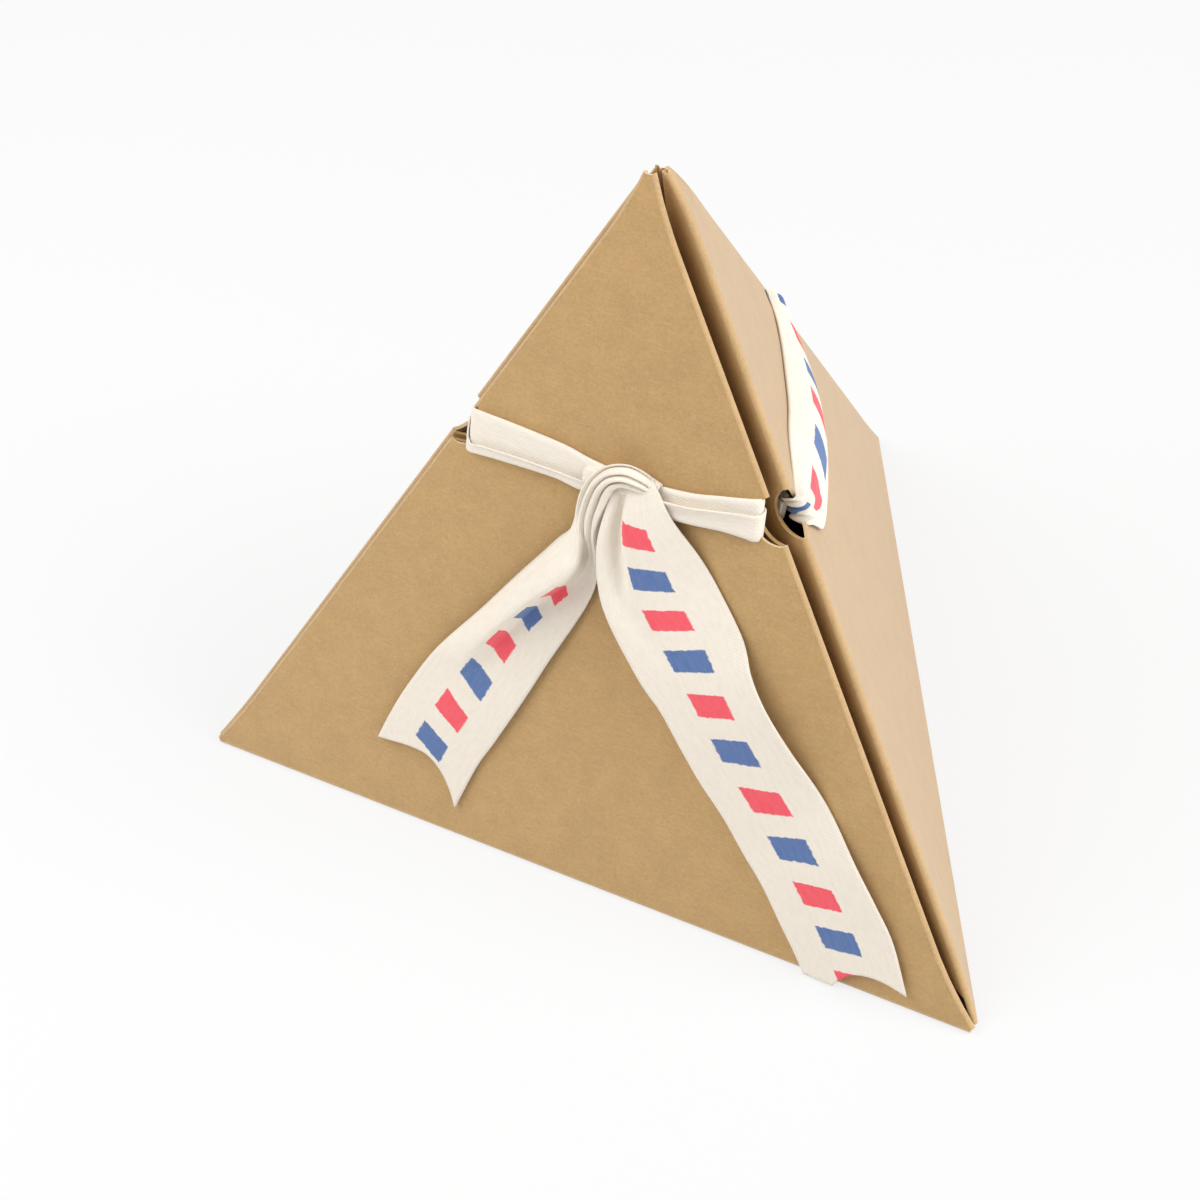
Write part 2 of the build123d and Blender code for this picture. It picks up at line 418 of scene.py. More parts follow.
@dataclass(frozen=True)
class Finishes:
    """Every material of the box."""

    card: bpy.types.Material
    flap: bpy.types.Material
    # The card of the rounded folds, with cracked fibres and a painted highlight.
    fold: bpy.types.Material
    cut: bpy.types.Material
    printed: bpy.types.Material
    plain: bpy.types.Material

    @classmethod
    def build(cls) -> "Finishes":
        """Makes the node groups once and the materials from them.

        Returns:
            The materials.
        """
        fibre = paper_fibre_group()
        weave = weave_group()
        stripe = stripe_print_group()
        brown = (0.525, 0.326, 0.131)
        return cls(
            card=KraftFinish("kraft_face", brown).build(fibre),
            flap=KraftFinish("kraft_flap", brown, sheen=0.1).build(fibre),
            # Lighter than the face card: partly the cracked fibres of a real crease, partly a painted
            # highlight where the fold's curve catches the light.
            fold=KraftFinish("kraft_fold", (0.575, 0.375, 0.175)).build(fibre),
            cut=KraftFinish("kraft_cut_edge", (0.68, 0.48, 0.26), roughness=0.9, relief=0.08).build(fibre),
            printed=RibbonFinish("cotton_printed", ink=0.98).build(weave, stripe),
            plain=RibbonFinish("cotton_plain", ink=0.06).build(weave, stripe),
        )


@dataclass(frozen=True)
class FaceFrame:
    """The middle plane of a petal: along its foot crease, up its slope and out of the box."""

    origin: Vector
    along: Vector
    up: Vector
    out: Vector

    @classmethod
    def from_hinge(cls, hinge: dict) -> "FaceFrame":
        """Finds the plane of the petal that turns on a hinge.

        Args:
            hinge: The petal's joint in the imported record.

        Returns:
            The plane of that petal at rest.
        """
        along = Vector(hinge["axis"]).normalized()
        up = UP.cross(along) * math.cos(FOLD) + UP * math.sin(FOLD)
        return cls(Vector(hinge["pos_m"]), along, up, along.cross(up))

    def place(self, u: float, v: float, w: float = 0.0) -> Vector:
        """A point in millimetres along the foot, up the slope and out of the middle plane."""
        return self.origin + (self.along * u + self.up * v + self.out * w) * MM

    def local(self, point: Vector) -> Vector:
        """The millimetres along, up and out of a point."""
        away = (point - self.origin) / MM
        return Vector((away.dot(self.along), away.dot(self.up), away.dot(self.out)))

    def matrix(self) -> Matrix:
        """The move from millimetres on the petal to the row frame."""
        turn = Matrix((self.along * MM, self.up * MM, self.out * MM)).transposed().to_4x4()
        return Matrix.Translation(self.origin) @ turn


@dataclass(frozen=True)
class SideCrease:
    """A sloping crease between a petal and its flap, in millimetres on the petal."""

    hole: Vector
    run: Vector
    inward: Vector

    @classmethod
    def from_hinge(cls, face: FaceFrame, side: Side, hinge: dict, spread: Span) -> "SideCrease":
        """Finds a crease from the joint of its flap.

        Args:
            face: The petal's plane.
            side: Which side of the petal.
            hinge: The flap's joint, which is placed at the middle of the hole.
            spread: How far outside the joint's line the two flats would meet, at the foot and at the hole.

        Returns:
            The crease.
        """
        axis = Vector(hinge["axis"]) * -side.value
        run = Vector((axis.dot(face.along), axis.dot(face.up), 0)).normalized()
        inward = Vector((-run.y, run.x, 0)) * side.value
        hole = face.local(Vector(hinge["pos_m"]))
        foot = hole - run * (hole.y / run.y) - inward * spread[0]
        hole -= inward * spread[1]
        run = (hole - foot).normalized()
        return cls(hole, run, Vector((-run.y, run.x, 0)) * side.value)

    def at_height(self, v: float, inset: float) -> Vector:
        """The point beside the crease, inset by some millimetres, at a height up the slope."""
        start = self.hole + self.inward * inset
        return start + self.run * ((v - start.y) / self.run.y)

    def around(self, angle: float) -> Vector:
        """The way from the middle of the hole to a point of its rim in the petal, by its angle from below."""
        return self.inward * math.sin(angle) - self.run * math.cos(angle)


def clamp(value: float) -> float:
    """Holds a number between 0 and 1."""
    return max(0.0, min(1.0, value))


def sliced(mesh: bmesh.types.BMesh, at: Vector, normal: Vector, clear: bool = False) -> None:
    """Cuts a bmesh along a plane, and clears what lies behind the plane where that is asked for."""
    everything = mesh.verts[:] + mesh.edges[:] + mesh.faces[:]
    bmesh.ops.bisect_plane(mesh, geom=everything, plane_co=at, plane_no=normal, clear_inner=clear)


def show(name: str, mesh: bmesh.types.BMesh, materials: Sequence[bpy.types.Material]) -> bpy.types.Object:
    """Turns a finished bmesh into an object in the scene.

    Args:
        name: The piece's name.
        mesh: The bmesh, which is freed.
        materials: Its materials in order.

    Returns:
        The object.
    """
    data = bpy.data.meshes.new(name)
    mesh.to_mesh(data)
    mesh.free()
    for material in materials:
        data.materials.append(material)
    made = bpy.data.objects.new(name, data)
    bpy.context.scene.collection.objects.link(made)
    return made


def thicken(piece: bpy.types.Object, thick: float, back: int, rim: int, even: bool = False) -> None:
    """Gives a sheet its thickness, half to each side.

    Args:
        piece: The sheet.
        thick: The thickness in millimetres.
        back: Which later material its back takes.
        rim: Which later material its edges take.
        even: Whether the thickness is kept round a tight bend.
    """
    wall = piece.modifiers.new("thickness", "SOLIDIFY")
    wall.thickness = thick * MM
    wall.offset = 0.0
    wall.use_even_offset = even
    wall.material_offset = back
    wall.material_offset_rim = rim


@dataclass(frozen=True)
class Wear:
    """How one side of a petal departs from its crease line, in millimetres.

    The spreads are how far outside the line the two flats would meet, the flares how much further the side
    runs out at its two ends, and the lifts how far it stands off the petal's plane.
    """

    foot_spread: float = 0.30
    hole_spread: float = 0.60
    foot_flare: float = 0.9
    tip_flare: float = 0.0
    foot_lift: float = 0.0
    hole_lift: float = 0.0
    tip_lift: float = 0.0


@dataclass
class CardBlank:
    """The folded card: a foot, three petals, their flaps and the folds between them.

    Sizes are in millimetres, and flap_hole_depth is how many of its radii a hole reaches into a flap.
    """

    finishes: Finishes
    joints: dict[str, dict]
    board: float = 0.5
    foot_fold: float = 0.45
    side_fold: float = 0.26
    wear: dict[str, Wear] = field(
        default_factory=lambda: {
            "front_left": Wear(tip_flare=0.95),
            "front_right": Wear(-0.20, -0.33, 1.7, 1.0),
            "right_left": Wear(0.0, 0.15, 0.5, 0.3, 0.45, 0.30, -0.5),
            "right_right": Wear(tip_flare=0.3, tip_lift=-0.3),
            "left_right": Wear(0.15, 0.30),
        }
    )
    tip_heights: dict[str, float] = field(
        default_factory=lambda: {"front": 101.3, "right": 100.9, "left": 99.3}
    )
    foot_flare_height: float = 10.0
    tip_flare_height: float = 92.0
    lift_reach: float = 18.0
    hole_diameter: float = 6.8
    flap_hole_depth: float = 1.5
    flap_width: float = 10.0
    flap_foot_taper: float = 9.0
    flap_tip_taper: float = 14.0
    flap_from_foot: float = 4.5
    flap_from_tip: float = 4.5
    bow: float = 0.35
    slices: int = 9
    fold_steps: int = 16
    fold_cuts: int = 20
    flare_steps: int = 4
    hole_steps: int = 20
    names: tuple[str, ...] = ("front", "right", "left")
    faces: dict[str, FaceFrame] = field(init=False)
    creases: dict[tuple[str, Side], SideCrease] = field(init=False)

    def __post_init__(self) -> None:
        """Reads the petals' planes and creases from the frame's joints."""
        self.faces = {name: FaceFrame.from_hinge(self.joints[f"{name}_petal_fold"]) for name in self.names}
        self.creases = {}
        for name, face in self.faces.items():
            for side in Side:
                hinge = self.joints[f"{name}_petal_{side.name.lower()}_flange_fold"]
                worn = self.worn(name, side)
                spread = (worn.foot_spread, worn.hole_spread)
                self.creases[name, side] = SideCrease.from_hinge(face, side, hinge, spread)

    def edge(self) -> float:
        """The length of a foot crease in millimetres."""
        return self.faces["front"].origin.to_2d().length / MM * 2 * math.sqrt(3)

    def slope(self) -> float:
        """The length in millimetres from a foot crease up to a sharp tip."""
        return self.edge() * math.sqrt(3) / 2

    def worn(self, name: str, side: Side) -> Wear:
        """How a side of a petal is worn."""
        return self.wear.get(f"{name}_{side.name.lower()}", Wear())

    def foot_inset(self) -> float:
        """How far from the foot crease the flat of a panel starts."""
        return self.foot_fold / math.tan(FOLD / 2)

    def side_inset(self) -> float:
        """How far from a side crease the flat of a panel starts."""
        return self.side_fold / math.tan(FOLD / 4)

    def flare(self, name: str, side: Side, v: float) -> float:
        """How much further out a side runs near its two ends, at a height up the slope."""
        worn = self.worn(name, side)
        low = max(0.0, 1 - max(v, 0.0) / self.foot_flare_height)
        return side.value * (worn.foot_flare * low**2 + worn.tip_flare * self.near_tip(name, v) ** 2)

    def near_tip(self, name: str, v: float) -> float:
        """How near to a petal's tip a height up the slope is, up to 1 at the tip."""
        return max(0.0, v - self.tip_flare_height) / (self.tip_heights[name] - self.tip_flare_height)

    def side_at(self, name: str, side: Side, v: float, inset: float) -> Vector:
        """The point beside a worn side crease, inset by some millimetres, at a height up the slope."""
        spot = self.creases[name, side].at_height(v, inset)
        return spot + Vector((self.flare(name, side, v), 0, 0))

    def rise(self, name: str, u: float, v: float) -> float:
        """How far a petal bows out of its plane and lifts at its sides.

        Args:
            name: The petal.
            u: Millimetres along its foot.
            v: Millimetres up its slope.

        Returns:
            Millimetres out of the plane.
        """
        up = v / self.slope()
        right = (1 - up) / 2 + u / self.edge()
        # The three shares multiply to 1/27 at the middle of the face.
        out = self.bow * max(0.0, 27 * up * right * (1 - up - right))
        start = clamp(v / self.foot_flare_height)
        for side in Side:
            worn, crease = self.worn(name, side), self.creases[name, side]
            away = max(0.0, (Vector((u, v, 0)) - crease.hole).dot(crease.inward))
            height = worn.foot_lift + (worn.hole_lift - worn.foot_lift) * min(1.0, v / crease.hole.y)
            lift = height * start * (2 - start) + worn.tip_lift * self.near_tip(name, v) ** 2
            out += lift * max(0.0, 1 - away / self.lift_reach) ** 2
        return out

    def on_petal(self, name: str, u: float, v: float, w: float) -> Vector:
        """The point some millimetres off the outer skin of a petal."""
        return self.faces[name].place(u, v, w + self.board / 2 + self.rise(name, u, v))

    def settle(self, verts: Iterable[Vert], name: str, side: Side) -> None:
        """Moves the flat fold or flap at one side of a petal to where the worn card lies.

        Args:
            verts: The points of the fold or flap, in the row frame.
            name: The petal.
            side: Which side of it.
        """
        face = self.faces[name]
        for vert in verts:
            u, v, w = face.local(vert.co)
            u += self.flare(name, side, v)
            vert.co = face.place(u, v, w + self.rise(name, u, v))

    def hole_gap(self) -> float:
        """How far up and down a side crease from the middle of its hole the fold stops."""
        return math.sqrt((self.hole_diameter / 2) ** 2 - self.side_inset() ** 2)

    def half_turn(self, depth: float) -> list[float]:
        """The angles of the points of half a hole, from its lower to its upper end, by how deep it is."""
        first = math.asin(self.side_inset() / depth)
        return [first + (math.pi - 2 * first) * step / self.hole_steps for step in range(self.hole_steps + 1)]

    def notch(self, name: str, side: Side) -> list[Vector]:
        """The half hole in a petal, from its lower to its upper end, in millimetres on the petal."""
        crease, radius = self.creases[name, side], self.hole_diameter / 2
        return [crease.hole + crease.around(angle) * radius for angle in self.half_turn(radius)]

    def climb(self, name: str, side: Side) -> list[Vector]:
        """One side of a petal's flat, from its foot past the half hole to the tip.

        Args:
            name: The petal.
            side: Which side of it.

        Returns:
            Points in millimetres on the petal.
        """
        shares = [step / self.flare_steps for step in range(self.flare_steps + 1)]
        foot, tip = self.foot_inset(), self.tip_heights[name]
        low = [foot + (self.foot_flare_height - foot) * share for share in shares]
        high = [self.tip_flare_height + (tip - self.tip_flare_height) * share for share in shares]
        below = [self.side_at(name, side, v, self.side_inset()) for v in low]
        above = [self.side_at(name, side, v, self.side_inset()) for v in high]
        return below + self.notch(name, side) + above

    def panel(self, name: str, outline: Sequence[Vector]) -> bmesh.types.BMesh:
        """Fills an outline and slices it so that it can bow.

        Args:
            name: The petal.
            outline: Its corners in millimetres on the petal.

        Returns:
            The panel in the row frame.
        """
        mesh = bmesh.new()
        mesh.faces.new([mesh.verts.new(point) for point in outline])
        span = self.edge() / self.slices
        for normal in (Vector((1, 0, 0)), Vector((0, 1, 0))):
            for step in range(-self.slices, self.slices + 1):
                sliced(mesh, normal * (step * span), normal)
        for vert in mesh.verts:
            vert.co.z = self.rise(name, vert.co.x, vert.co.y)
        bmesh.ops.transform(mesh, matrix=self.faces[name].matrix(), verts=mesh.verts)
        return mesh

    def petal(self, name: str) -> bpy.types.Object:
        """Builds one sloping face with a half hole in each side.

        Args:
            name: The petal.

        Returns:
            The piece.
        """
        outline = self.climb(name, Side.RIGHT) + self.climb(name, Side.LEFT)[::-1]
        piece = show(f"{name}_petal_card", self.panel(name, outline), [self.finishes.card, self.finishes.cut])
        thicken(piece, self.board, back=0, rim=1)
        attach(piece, f"{name}_petal")
        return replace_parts(piece, f"{name}_petal")

    def foot(self) -> bpy.types.Object:
        """Builds the triangle that the box stands on.

        Returns:
            The piece.
        """
        mesh = bmesh.new()
        corners = []
        for name, face in self.faces.items():
            inward = UP.cross(face.along) * (self.foot_inset() * MM)
            for side in Side:
                reach = self.side_at(name, side, self.foot_inset(), self.side_inset()).x
                corners.append(mesh.verts.new(face.origin + face.along * (reach * MM) + inward))
        mesh.faces.new(corners)
        piece = show("foot_card", mesh, [self.finishes.card, self.finishes.cut])
        thicken(piece, self.board, back=0, rim=1)
        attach(piece, "base")
        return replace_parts(piece, "base_panel")

    def fold_strip(
        self,
        mesh: bmesh.types.BMesh,
        start: Vector,
        centre: Vector,
        axis: Vector,
        turn: float,
        run: Vector,
    ) -> None:
        """Adds the middle surface of a round fold along a crease to a bmesh.

        Args:
            mesh: The bmesh.
            start: Where the flat panel ends and the fold begins.
            centre: The middle of the fold's curve beside it.
            axis: What the fold turns about.
            turn: How far it turns.
            run: The way along the crease to its other end.
        """
        across, along = self.fold_steps, self.fold_cuts + 1
        flat = bmesh.ops.create_grid(mesh, x_segments=across, y_segments=along, size=0.5)
        for vert in flat["verts"]:
            bend = Matrix.Rotation((vert.co.x + 0.5) * turn, 3, axis)
            vert.co = centre + bend @ (start - centre) + run * (vert.co.y + 0.5)

    def foot_fold_piece(self, name: str) -> bpy.types.Object:
        """Builds the fold between the foot and a petal.

        Args:
            name: The petal.

        Returns:
            The piece.
        """
        face = self.faces[name]
        low, radius = self.foot_inset(), self.foot_fold
        ends = [self.side_at(name, side, low, self.side_inset()).x for side in Side]
        start = face.place(ends[0], low)
        centre = face.place(ends[0], low, -radius)
        run = face.along * ((ends[1] - ends[0]) * MM)
        mesh = bmesh.new()
        self.fold_strip(mesh, start, centre, face.along, math.pi - FOLD, run)
        piece = show(f"{name}_foot_fold", mesh, [self.finishes.fold, self.finishes.cut])
        thicken(piece, self.board, back=0, rim=1, even=True)
        inner = face.origin + UP.cross(face.along) * (low * MM)
        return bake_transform(piece, "base", f"{name}_petal", start=inner, end=face.place(0, low))

    def side_fold_piece(self, name: str, side: Side) -> bpy.types.Object:
        """Builds the fold between a petal and its flap, in two runs with the hole between them.

        Args:
            name: The petal.
            side: Which side of it.

        Returns:
            The piece.
        """
        face, crease = self.faces[name], self.creases[name, side]
        radius, inset, gap = self.side_fold, self.side_inset(), self.hole_gap()
        foot = crease.at_height(self.foot_inset(), inset)
        tip = crease.at_height(self.tip_heights[name], inset)
        beside = crease.hole + crease.inward * inset
        mesh = bmesh.new()
        for first, last in ((foot, beside - crease.run * gap), (beside + crease.run * gap, tip)):
            start = face.place(*first)
            centre = face.place(first.x, first.y, -radius)
            run = face.place(*last) - start
            turn = run.normalized() * side.value
            self.fold_strip(mesh, start, centre, turn, math.pi - FOLD / 2, run)
        label = f"{name}_{side.name.lower()}"
        piece = show(f"{label}_side_fold", mesh, [self.finishes.fold, self.finishes.cut])
        thicken(piece, self.board, back=0, rim=1, even=True)
        end = self.flap_place(name, side, 0, inset)
        face.place(*beside)
        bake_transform(piece)
        self.settle(piece.data.vertices, name, side)
        return piece

    def flap_place(self, name: str, side: Side, run: float, across: float) -> Vector:
        """A point on a folded flap: millimetres up its crease from the hole, and away from the crease."""
        face, crease = self.faces[name], self.creases[name, side]
        level = crease.hole + crease.run * run + crease.inward * (across * math.cos(FOLD / 2))
        return face.place(level.x, level.y, -across * math.sin(FOLD / 2))

    def flap(self, name: str, side: Side) -> bpy.types.Object:
        """Builds a flap folded inwards, with the other half of the hole.

        Args:
            name: The petal.
            side: Which side of it.

        Returns:
            The piece.
        """
        inset, gap, radius = self.side_inset(), self.hole_gap(), self.hole_diameter / 2
        depth = radius * self.flap_hole_depth
        crease = self.creases[name, side]
        low = -(crease.hole.y / crease.run.y) + self.flap_from_foot
        high = (self.slope() - crease.hole.y) / crease.run.y - self.flap_from_tip
        shares = [step / self.fold_cuts for step in range(self.fold_cuts + 1)]
        outline = [(low + (-gap - low) * share, inset) for share in shares[:-1]]
        for angle in self.half_turn(depth):
            outline.append((-radius * math.cos(angle), depth * math.sin(angle)))
        outline += [(gap + (high - gap) * share, inset) for share in shares[1:]]
        outline.append((high - self.flap_tip_taper, self.flap_width))
        outline.append((low + self.flap_foot_taper, self.flap_width))
        mesh = bmesh.new()
        mesh.faces.new([mesh.verts.new(self.flap_place(name, side, *point)) for point in outline])
        self.settle(mesh.verts, name, side)
        label = side.name.lower()
        piece = show(f"{name}_{label}_flap", mesh, [self.finishes.flap])
        thicken(piece, self.board, back=0, rim=0)
        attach(piece, f"{name}_petal_{label}_flange")
        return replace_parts(piece, f"{name}_petal_{label}_flange")

    def build(self) -> list[bpy.types.Object]:
        """Builds every piece of the card.

        Returns:
            The pieces.
        """
        pieces = [self.foot()]
        for name in self.names:
            pieces += [self.petal(name), self.foot_fold_piece(name)]
            for side in Side:
                pieces += [self.flap(name, side), self.side_fold_piece(name, side)]
        return pieces


def between(values: Sequence[Sequence[float]], place: float) -> list[float]:
    """Reads a smooth line through a list of values.

    Args:
        values: Rows of numbers.
        place: Where to read it, as a row number with a fraction.

    Returns:
        One row of numbers.
    """
    row = min(int(place), len(values) - 2)
    share = place - row
    near = [values[max(0, min(len(values) - 1, row + step))] for step in (-1, 0, 1, 2)]
    made = []
    for before, first, second, after in zip(*near):
        curve = (2 * first, second - before, 2 * before - 5 * first + 4 * second - after)
        last = 3 * first - before - 3 * second + after
        made.append((curve[0] + curve[1] * share + curve[2] * share**2 + last * share**3) / 2)
    return made


@dataclass(frozen=True)
class Laid:
    """A cross-section of an open ribbon that lies on a petal, from edge to edge, in millimetres.

    The crown is how far its middle arches, the pleat how high a fold stands, fold_at where that fold or a
    valley lies between the edges, the valley how deep it is, and the waves how high the small gathers are.
    """

    left_u: float
    left_v: float
    left_w: float
    right_u: float
    right_v: float
    right_w: float
    crown: float = 0.0
    pleat: float = 0.0
    valley: float = 0.0
    fold_at: float = 0.30
    waves: float = 0.0


@dataclass(frozen=True)
class Rolled:
    """A cross-section of a ribbon that is folded or rolled up, in millimetres: its middle and half sizes.

    The groove is how deep its creases are, and the flap where the edge that shows lies, in half widths.
    """

    u: float
    v: float
    w: float
    half_width: float
    half_height: float
    groove: float = 0.0
    flap: float = 0.42


def numbers(section: Laid | Rolled) -> list[float]:
    """The fields of a cross-section in order."""
    return [getattr(section, part.name) for part in fields(section)]


@dataclass
class RibbonTie:
    """The ribbon: its bands round the box, the knot and the two tails.

    Sizes are in millimetres, and places across the ribbon are shares of its width. The blocks of a stretch
    say how far along it each printed block lies, red first.
    """

    card: CardBlank
    finishes: Finishes
    width: float = RIBBON_WIDTH
    thick: float = 0.26
    cell: float = 0.45
    section_steps: int = 40
    look_ahead: float = 0.02
    floor_gap: float = 0.4
    tail_hollow: float = 4.0
    tail_end: float = 12.0
    tail_gap: float = 0.3
    hollow_power: float = 1.7
    pleat_drop: Span = (0.26, 0.54)
    pleat_ledge: float = 0.12
    pleat_full: float = 3.0
    valley_width: float = 0.10
    gathers: int = 7
    fold_shares: Span = (0.28, 0.62)
    fold_sides: Span = (0.93, -0.9)
    fold_inner: float = -0.75
    fold_bend: float = 0.06
    bend_reach: float = 0.1
    dent_start: float = 0.80
    dent_span: float = 0.20
    knot_turn: float = 10.0
    knot_grooves: Span = (-0.45, 0.2)
    groove_width: float = 0.14
    roll_power: float = 0.75
    roll_closed: float = 2.5
    roll_tucks: Span = (0.30, 0.12)
    right_tail: tuple[Laid, ...] = (
        Laid(1.2, 61.4, 1.4, 5.6, 63.4, 1.4),
        Laid(0.6, 59.2, 2.6, 7.1, 62.2, 2.1, 0.2, valley=1.2, fold_at=0.24),
        Laid(0.1, 53.6, 3.6, 9.5, 58.9, 2.0, 0.4, valley=2.0, fold_at=0.22),
        Laid(0.8, 48.0, 3.5, 13.2, 54.9, 1.0, 0.5, valley=1.4, fold_at=0.20),
        Laid(2.8, 43.2, 3.4, 16.1, 51.2, 0.4, 0.5, valley=0.5, fold_at=0.20),
        Laid(8.3, 36.0, 3.2, 20.7, 45.3, 0.7, 0.2),
        Laid(11.6, 32.4, 2.7, 23.2, 41.0, 2.0, -0.2),
        Laid(14.7, 28.0, 2.1, 26.1, 37.2, 2.6, -0.3),
        Laid(17.8, 23.5, 1.3, 29.8, 32.7, 2.0),
        Laid(21.8, 18.9, 0.7, 34.0, 27.8, 0.8, 0.4),
        Laid(25.4, 14.4, 0.5, 36.8, 24.2, 0.4, 0.5),
        Laid(28.6, 11.1, 0.8, 41.0, 19.0, 1.2, 0.2),
        Laid(32.1, 6.3, 0.9, 44.6, 14.3, 1.2),
        Laid(35.2, 1.6, 0.6, 47.7, 9.6, 0.9, 0.1),
        Laid(38.8, -4.4, 0.5, 50.8, 2.6, 0.9, 0.1),
    )
    left_tail: tuple[Laid, ...] = (
        Laid(6.3, 62.6, 0.8, 5.6, 60.8, 0.8, 0.5, fold_at=0.5, waves=0.45),
        Laid(5.2, 64.0, 1.4, 4.6, 61.4, 2.0, 0.8, fold_at=0.5, waves=0.50),
        Laid(2.6, 64.7, 1.7, 2.6, 61.6, 2.4, 1.0, fold_at=0.5, waves=0.50),
        Laid(-0.3, 63.8, 1.8, 1.2, 61.0, 2.7, 1.0, fold_at=0.5, waves=0.50),
        Laid(-2.4, 61.8, 1.8, 0.7, 59.9, 2.8, 1.0, fold_at=0.5, waves=0.50),
        Laid(-3.7, 59.3, 1.6, 0.4, 58.4, 2.7, 0.9, fold_at=0.5, waves=0.50),
        Laid(-4.1, 57.0, 1.6, -0.1, 56.2, 2.8, 0.9, fold_at=0.5, waves=0.45),
        Laid(-4.2, 55.0, 1.7, -0.3, 53.4, 2.4, 0.8, pleat=0.5, fold_at=0.60, waves=0.30),
        Laid(-4.8, 53.2, 1.6, -0.4, 50.0, 1.3, 0.3, pleat=2.3, fold_at=0.60, waves=0.12),
        Laid(-6.4, 51.4, 1.4, -0.6, 46.3, 0.8, pleat=3.9, fold_at=0.56),
        Laid(-8.7, 48.4, 1.3, -1.6, 42.9, 0.7, -0.1, pleat=4.3, fold_at=0.48),
        Laid(-12.0, 44.1, 1.3, -3.2, 39.2, 0.7, -0.1, pleat=3.8, fold_at=0.38),
        Laid(-17.0, 37.3, 1.3, -6.2, 32.9, 0.7, pleat=2.6),
        Laid(-21.6, 31.5, 1.2, -8.5, 27.7, 0.7, 0.1, pleat=1.2),
        Laid(-24.5, 27.4, 1.1, -10.8, 22.7, 0.7, 0.2),
        Laid(-28.1, 20.8, 0.9, -13.6, 16.9, 0.7, 0.2),
        Laid(-30.3, 15.9, 0.8, -15.8, 12.5, 0.6, 0.2),
        Laid(-32.0, 11.6, 0.6, -18.7, 4.7, 0.5, 0.1),
    )
    right_band: tuple[Laid, ...] = (
        Laid(-19.4, 58.6, -1.9, -18.6, 62.0, -1.9, 0.3, waves=0.30),
        Laid(-20.8, 58.9, -1.2, -19.9, 62.6, -1.2, 0.4, waves=0.30),
        Laid(-21.6, 58.9, -0.4, -20.6, 62.9, -0.4, 0.6, waves=0.25),
        Laid(-21.4, 58.4, 0.3, -20.3, 62.8, 0.2, 0.8, waves=0.30),
        Laid(-19.6, 56.4, 0.3, -18.9, 62.8, 0.15, 0.8, waves=0.25),
        Laid(-15.6, 52.2, 0.3, -15.4, 63.0, 0.15, 1.1, waves=0.12),
        Laid(-8.0, 48.6, 0.3, -8.0, 62.8, 0.15, 1.7),
        Laid(0.0, 47.2, 0.3, 0.0, 61.0, 0.15, 2.2),
        Laid(7.0, 46.5, 0.3, 7.0, 60.5, 0.15, 2.2),
        Laid(13.0, 47.0, 0.3, 13.0, 60.3, 0.15, 2.0),
        Laid(18.0, 52.0, 0.3, 18.2, 61.0, 0.15, 1.6),
        Laid(21.0, 56.8, 0.3, 21.2, 62.6, 0.15, 1.2, waves=0.20),
        Laid(22.6, 59.2, 0.2, 22.6, 63.6, 0.1, 0.9, waves=0.30),
        Laid(23.5, 59.8, -1.4, 23.4, 63.6, -1.4, 0.6, waves=0.20),
        Laid(24.3, 60.2, -2.8, 24.2, 63.2, -2.8, 0.4),
    )
    front_band: tuple[Rolled, ...] = (
        Rolled(-22.6, 61.8, -2.3, 2.5, 0.35),
        Rolled(-22.3, 61.8, -1.3, 2.8, 0.35),
        Rolled(-22.0, 61.8, -0.3, 2.9, 0.35),
        Rolled(-21.4, 61.8, 0.35, 2.95, 0.40, 0.1, -0.5),
        Rolled(-19.0, 61.9, 0.60, 2.8, 0.45, 0.3, -0.5),
        Rolled(-14.0, 61.85, 0.70, 2.55, 0.50, 0.3, -0.5),
        Rolled(-8.0, 61.6, 0.80, 2.25, 0.55, 0.3, -0.5),
        Rolled(-4.0, 61.0, 0.95, 2.1, 0.60, 0.3, -0.3),
        Rolled(1.0, 60.6, 1.0, 1.9, 0.60, 0.3, 0.0),
        Rolled(6.0, 60.5, 0.90, 1.8, 0.60, 0.5, 0.3),
        Rolled(11.0, 60.7, 0.80, 1.9, 0.55, 0.7, 0.3),
        Rolled(15.5, 61.3, 0.70, 2.15, 0.50, 0.6, 0.3),
        Rolled(18.5, 61.55, 0.60, 2.5, 0.40, 0.3, 0.3),
        Rolled(20.0, 61.6, 0.35, 2.75, 0.40, 0.1, 0.3),
        Rolled(20.3, 61.6, -0.3, 2.7, 0.35),
        Rolled(20.0, 61.6, -1.2, 2.6, 0.35),
        Rolled(19.2, 61.6, -2.0, 2.4, 0.35),
        Rolled(17.4, 61.6, -3.1, 2.4, 0.30),
        Rolled(15.4, 61.5, -4.6, 2.4, 0.30),
        Rolled(13.9, 61.4, -6.2, 2.4, 0.30),
        Rolled(14.2, 61.3, -7.5, 2.4, 0.30),
        Rolled(17.1, 61.9, -7.3, 2.1, 0.30),
        Rolled(19.6, 62.0, -6.4, 1.9, 0.30),
        Rolled(21.2, 61.7, -5.4, 1.8, 0.30),
    )
